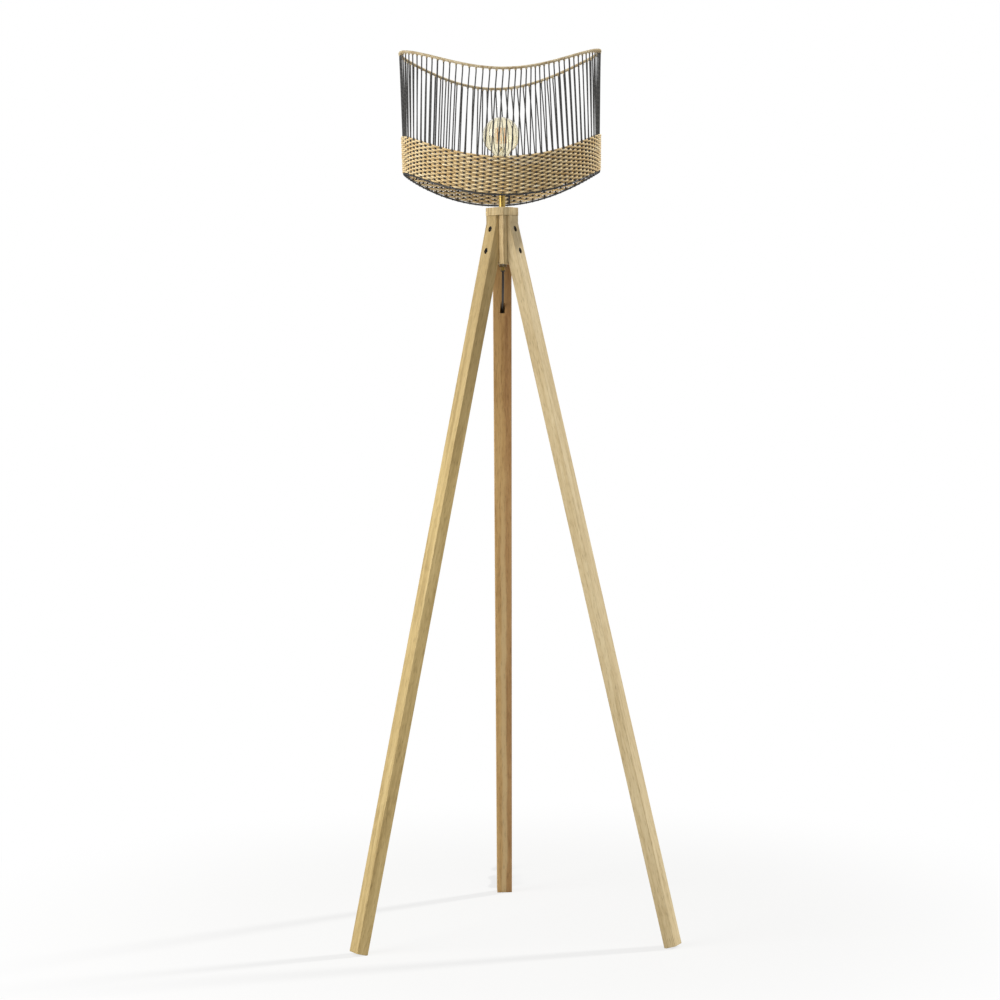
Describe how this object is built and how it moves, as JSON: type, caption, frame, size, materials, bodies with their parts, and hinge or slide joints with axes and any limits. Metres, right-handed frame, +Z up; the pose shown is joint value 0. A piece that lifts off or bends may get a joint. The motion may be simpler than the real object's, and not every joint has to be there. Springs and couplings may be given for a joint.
{
  "type": "tripod floor lamp",
  "caption": "Tripod floor lamp with three slanted wooden legs on a wooden hub, a globe bulb, and an open saddle-rimmed shade of black cords with a woven rattan band.",
  "frame": {"origin": "middle of the lamp's footprint box on the floor; the lamp axis stands 72.7 mm forward of it", "axes": "+Z up along the lamp pipe, -Y towards the front between the two front legs, +X to the right seen from the front"},
  "size_m": [0.5712, 0.7234, 1.5456],
  "materials": {
    "leg_wood": "matt washed brown hardwood with fine grain",
    "hub_wood": "matt washed brown hardwood",
    "bolt_black": "black oxide steel",
    "brass": "satin brushed brass",
    "plated_steel": "zinc plated",
    "black_moulding": "moulded black, fine texture",
    "holder_ceramic": "glazed white insulating body",
    "bulb_glass": "clear glass with an amber tint",
    "bulb_metal": "rolled nickel-plated screw cap",
    "bulb_black": "black glass seal",
    "filament": "orange coated filament strips",
    "frame_black": "black powder coat on round wire",
    "rattan": "natural woven fibre, unvarnished",
    "rim_fibre": "natural fibre wound round the rim",
    "shade_cord": "black twisted paper cord",
    "flex": "smooth black flexible sheath",
    "plug_moulding": "moulded black",
    "tie_strap": "soft black strap"
  },
  "bodies": {
    "lamp_base": {"leg_left": "leg_wood", "leg_right": "leg_wood", "leg_rear": "leg_wood", "hub_core": "hub_wood", "hub_cap": "hub_wood", "leg_bolt_left_upper": "bolt_black", "leg_bolt_left_lower": "bolt_black", "leg_bolt_right_upper": "bolt_black", "leg_bolt_right_lower": "bolt_black", "leg_bolt_rear_upper": "bolt_black", "leg_bolt_rear_lower": "bolt_black", "lamp_pipe": "plated_steel", "pipe_sleeve": "brass", "pipe_washer": "plated_steel", "pipe_nut": "plated_steel", "pipe_bush": "black_moulding", "lampholder_cup": "black_moulding", "lampholder_body": "black_moulding", "lampholder_insulator": "holder_ceramic", "lampholder_screw_shell": "brass", "lampholder_contact": "brass", "cord_in_pipe": "flex", "cord_drop": "flex", "cord_leg_run": "flex", "cord_tail": "flex", "cord_hank": "flex", "cord_plug_lead": "flex", "cord_clip_1": "black_moulding", "cord_clip_2": "black_moulding", "cord_clip_3": "black_moulding", "clip_nail_1": "plated_steel", "clip_nail_2": "plated_steel", "clip_nail_3": "plated_steel", "hank_tie": "tie_strap", "plug_body": "plug_moulding", "plug_blade_left": "brass", "plug_blade_right": "brass"},
    "shade": {"shade_top_ring": "frame_black", "shade_rim_wrap": "rim_fibre", "shade_bottom_ring": "frame_black", "shade_strut_back_right": "frame_black", "shade_strut_back_left": "frame_black", "shade_strut_front_left": "frame_black", "shade_strut_front_right": "frame_black", "shade_spider": "frame_black", "shade_cords_back": "shade_cord", "shade_cords_left": "shade_cord", "shade_cords_front": "shade_cord", "shade_cords_right": "shade_cord", "shade_rattan_band": "rattan"},
    "ring_nut": {"shade_ring_nut": "black_moulding"},
    "bulb": {"bulb_glass": "bulb_glass", "bulb_cap": "bulb_metal", "bulb_insulator": "bulb_black", "bulb_tip": "bulb_metal", "bulb_stem": "bulb_glass", "bulb_filament_holder": "bulb_metal", "bulb_filament": "filament"},
    "switch": {"switch_spindle": "brass", "switch_knob": "black_moulding"}
  },
  "joints": [
    {"name": "shade_turn", "type": "hinge", "parent": "lamp_base", "child": "shade", "pos_m": [0, -0.07271, 1.3355], "axis": [0, 0, 1], "continuous": true},
    {"name": "ring_nut_turn", "type": "hinge", "parent": "lamp_base", "child": "ring_nut", "pos_m": [0, -0.07271, 1.3403], "axis": [0, 0, 1], "continuous": true},
    {"name": "bulb_turn", "type": "hinge", "parent": "lamp_base", "child": "bulb", "pos_m": [0, -0.07271, 1.3996], "axis": [0, 0, 1], "continuous": true},
    {"name": "switch_turn", "type": "hinge", "parent": "lamp_base", "child": "switch", "pos_m": [0.0258, -0.07271, 1.3259], "axis": [1, 0, 0], "continuous": true}
  ]
}
